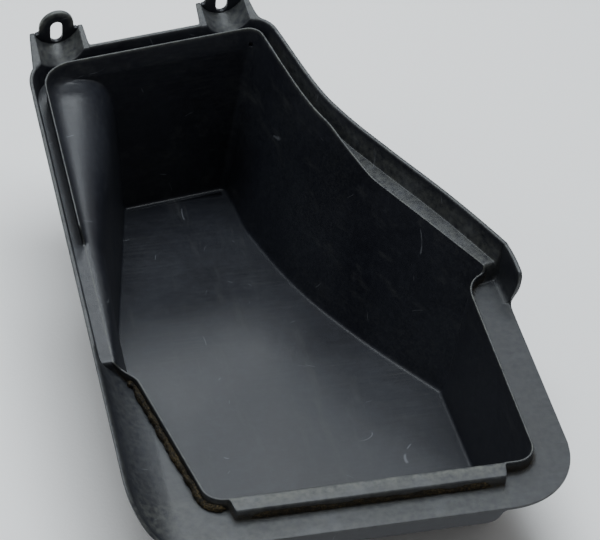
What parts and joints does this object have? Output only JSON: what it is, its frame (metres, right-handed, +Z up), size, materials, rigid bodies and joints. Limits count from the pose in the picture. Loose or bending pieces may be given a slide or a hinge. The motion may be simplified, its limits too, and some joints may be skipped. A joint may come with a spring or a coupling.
{
  "type": "side storage tub liner",
  "caption": "Thin black plastic tub liner with a level floor, an S-shaped side, a raised rim, slotted mounting ears and a foam seal at its front mouth.",
  "frame": {"origin": "middle of the bounding box at the underside of the floor", "axes": "+Z up with the floor level, +Y from the open front mouth towards the two ears, +X to the right as seen from the front"},
  "size_m": [0.335, 0.566, 0.1956],
  "materials": {
    "liner": "satin, fine grained",
    "foam": "open cell, weathered"
  },
  "bodies": {
    "root": {"back_wall": "liner", "cove_corner": "liner", "cove_left": "liner", "ear_left": "liner", "ear_plate_left": "liner", "ear_plate_right": "liner", "ear_right": "liner", "flange_front": "liner", "flange_left": "liner", "flange_right": "liner", "floor_pan": "liner", "front_ledge": "liner", "front_wall": "liner", "left_front_wall": "liner", "left_wall": "liner", "lip_back": "liner", "lip_corner_left": "liner", "lip_corner_right": "liner", "lip_left": "liner", "lip_right": "liner", "mouth_lip_left": "liner", "mouth_lip_right": "liner", "right_front_wall": "liner", "right_rear_wall": "liner", "rim_back": "liner", "rim_corner_left": "liner", "rim_corner_right": "liner", "rim_end": "liner", "rim_left": "liner", "rim_right": "liner", "seal_front": "foam", "seal_left": "foam", "seal_right": "foam", "shelf_back": "liner", "shelf_corner_left": "liner", "shelf_corner_right": "liner", "shelf_left": "liner", "shelf_right": "liner", "skirt": "liner", "step_left": "liner", "step_right": "liner"}
  },
  "joints": []
}
